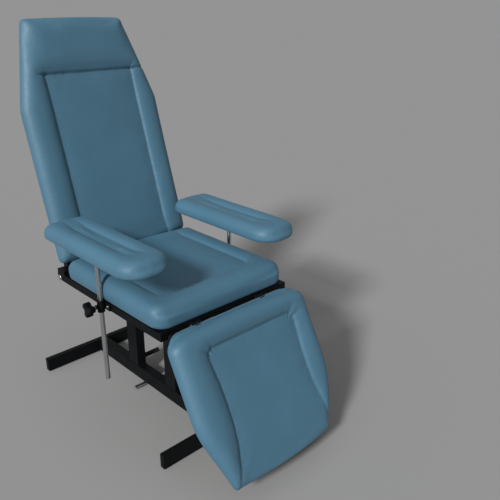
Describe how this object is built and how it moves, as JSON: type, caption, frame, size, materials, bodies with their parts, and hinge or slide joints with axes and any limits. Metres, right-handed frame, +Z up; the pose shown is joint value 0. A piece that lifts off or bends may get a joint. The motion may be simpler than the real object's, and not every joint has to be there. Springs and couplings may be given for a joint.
{
  "type": "reclining treatment chair",
  "caption": "Padded treatment chair on a welded tube base, with a reclining back, a hinged leg rest, sliding swivel arm rests and a foot pedal.",
  "frame": {"origin": "on the floor, under the middle of the chair's width and of its stored length", "axes": "+Z up, the sitter faces -Y, the sitter's right hand is on -X"},
  "size_m": [0.666, 1.0834, 1.2984],
  "materials": {
    "blue_vinyl": "semi-gloss",
    "black_paint": "satin",
    "bright_steel": "satin",
    "chrome_rod": "polished",
    "black_plastic": "matte",
    "rubber": "matte",
    "plywood": "matte"
  },
  "bodies": {
    "base": {"rear_foot": "black_paint", "front_foot": "black_paint", "tube_end_caps": "black_plastic", "floor_glides": "black_plastic", "base_beam": "black_paint", "rear_post": "black_paint", "front_post": "black_paint", "seat_spine": "black_paint", "front_cross_tube": "black_paint", "rear_cross_tube": "black_paint", "seat_rail_right": "black_paint", "seat_rail_left": "black_paint", "back_spring_bracket": "black_paint", "leg_spring_bracket": "black_paint", "spring_base_pins": "bright_steel", "leg_hinge_lugs": "black_paint", "leg_hinge_pins": "bright_steel", "back_pivot_bolts": "bright_steel", "seat_board": "plywood", "seat_board_screws": "bright_steel", "seat_cushion": "blue_vinyl", "right_arm_clamp": "black_paint", "left_arm_clamp": "black_paint", "arm_clamp_bolts": "bright_steel", "pedal_bushes": "black_plastic"},
    "backrest": {"back_side_tube_right": "black_paint", "back_side_tube_left": "black_paint", "back_lower_cross_tube": "black_paint", "back_upper_cross_tube": "black_paint", "back_spring_pin": "bright_steel", "back_board": "plywood", "backrest_cushion": "blue_vinyl", "back_board_screws": "bright_steel"},
    "leg_rest": {"leg_arm_right": "black_paint", "leg_arm_left": "black_paint", "leg_cross_bar": "black_paint", "leg_spring_pin": "bright_steel", "leg_board": "plywood", "leg_rest_cushion": "blue_vinyl", "leg_board_screws": "bright_steel"},
    "back_cylinder": {"back_spring_cylinder": "black_paint", "back_spring_guide": "black_plastic"},
    "back_rod": {"back_spring_rod": "chrome_rod"},
    "leg_cylinder": {"leg_spring_cylinder": "black_paint", "leg_spring_guide": "black_plastic"},
    "leg_rod": {"leg_spring_rod": "chrome_rod"},
    "right_rod": {"right_arm_rod": "chrome_rod"},
    "left_rod": {"left_arm_rod": "chrome_rod"},
    "right_pad": {"right_arm_mount": "black_paint", "right_arm_board": "plywood", "right_arm_pad": "blue_vinyl"},
    "left_pad": {"left_arm_mount": "black_paint", "left_arm_board": "plywood", "left_arm_pad": "blue_vinyl"},
    "right_knob_and_screw": {"right_knob": "black_plastic", "right_knob_screw": "bright_steel"},
    "left_knob_and_screw": {"left_knob": "black_plastic", "left_knob_screw": "bright_steel"},
    "pedal": {"pedal_bar": "chrome_rod", "pedal_grip": "rubber"}
  },
  "joints": [
    {"name": "backrest_recline", "type": "hinge", "parent": "base", "child": "backrest", "pos_m": [0, 0.31223, 0.479], "axis": [-1, 0, 0], "range_deg": [-5, 73]},
    {"name": "back_spring_swing", "type": "hinge", "parent": "base", "child": "back_cylinder", "pos_m": [0, 0.34823, 0.24172], "axis": [-1, 0, 0], "range_deg": [-2.5, 36.5]},
    {"name": "back_spring_rod_swing", "type": "hinge", "parent": "backrest", "child": "back_rod", "pos_m": [0, 0.41512, 0.69583], "axis": [-1, 0, 0], "range_deg": [-36.5, 2.5]},
    {"name": "leg_rest_lift", "type": "hinge", "parent": "base", "child": "leg_rest", "pos_m": [0, -0.26677, 0.482], "axis": [-1, 0, 0], "range_deg": [-10, 62]},
    {"name": "leg_spring_swing", "type": "hinge", "parent": "base", "child": "leg_cylinder", "pos_m": [0, -0.09977, 0.39138], "axis": [-1, 0, 0], "range_deg": [-5, 31]},
    {"name": "leg_spring_rod_swing", "type": "hinge", "parent": "leg_rest", "child": "leg_rod", "pos_m": [0, -0.32836, 0.30226], "axis": [-1, 0, 0], "range_deg": [-31, 5]},
    {"name": "right_arm_height", "type": "slide", "parent": "base", "child": "right_rod", "axis": [0, 0, 1], "range_m": [-0.08, 0.1]},
    {"name": "right_arm_swivel", "type": "hinge", "parent": "right_rod", "child": "right_pad", "pos_m": [-0.265, 0.03023, 0.662], "axis": [0, 0, -1], "range_deg": [-20, 90]},
    {"name": "right_knob_turn", "type": "hinge", "parent": "base", "child": "right_knob_and_screw", "pos_m": [-0.265, 0.03023, 0.4795], "axis": [-1, 0, 0], "continuous": true},
    {"name": "left_arm_height", "type": "slide", "parent": "base", "child": "left_rod", "axis": [0, 0, 1], "range_m": [-0.05, 0.1]},
    {"name": "left_arm_swivel", "type": "hinge", "parent": "left_rod", "child": "left_pad", "pos_m": [0.265, 0.03023, 0.634], "axis": [0, 0, 1], "range_deg": [-20, 90]},
    {"name": "left_knob_turn", "type": "hinge", "parent": "base", "child": "left_knob_and_screw", "pos_m": [0.265, 0.03023, 0.4795], "axis": [1, 0, 0], "continuous": true},
    {"name": "pedal_press", "type": "hinge", "parent": "base", "child": "pedal", "pos_m": [0, 0.18823, 0.0125], "axis": [-1, 0, 0], "range_deg": [0, 18], "stiffness_Nm_per_rad": 4, "springref_deg": -20.05}
  ],
  "couplings": [
    {"joint": "back_spring_swing", "follows": "backrest_recline", "ratio": 0.5},
    {"joint": "back_spring_rod_swing", "follows": "backrest_recline", "ratio": -0.5},
    {"joint": "leg_spring_swing", "follows": "leg_rest_lift", "ratio": 0.5},
    {"joint": "leg_spring_rod_swing", "follows": "leg_rest_lift", "ratio": -0.5}
  ]
}
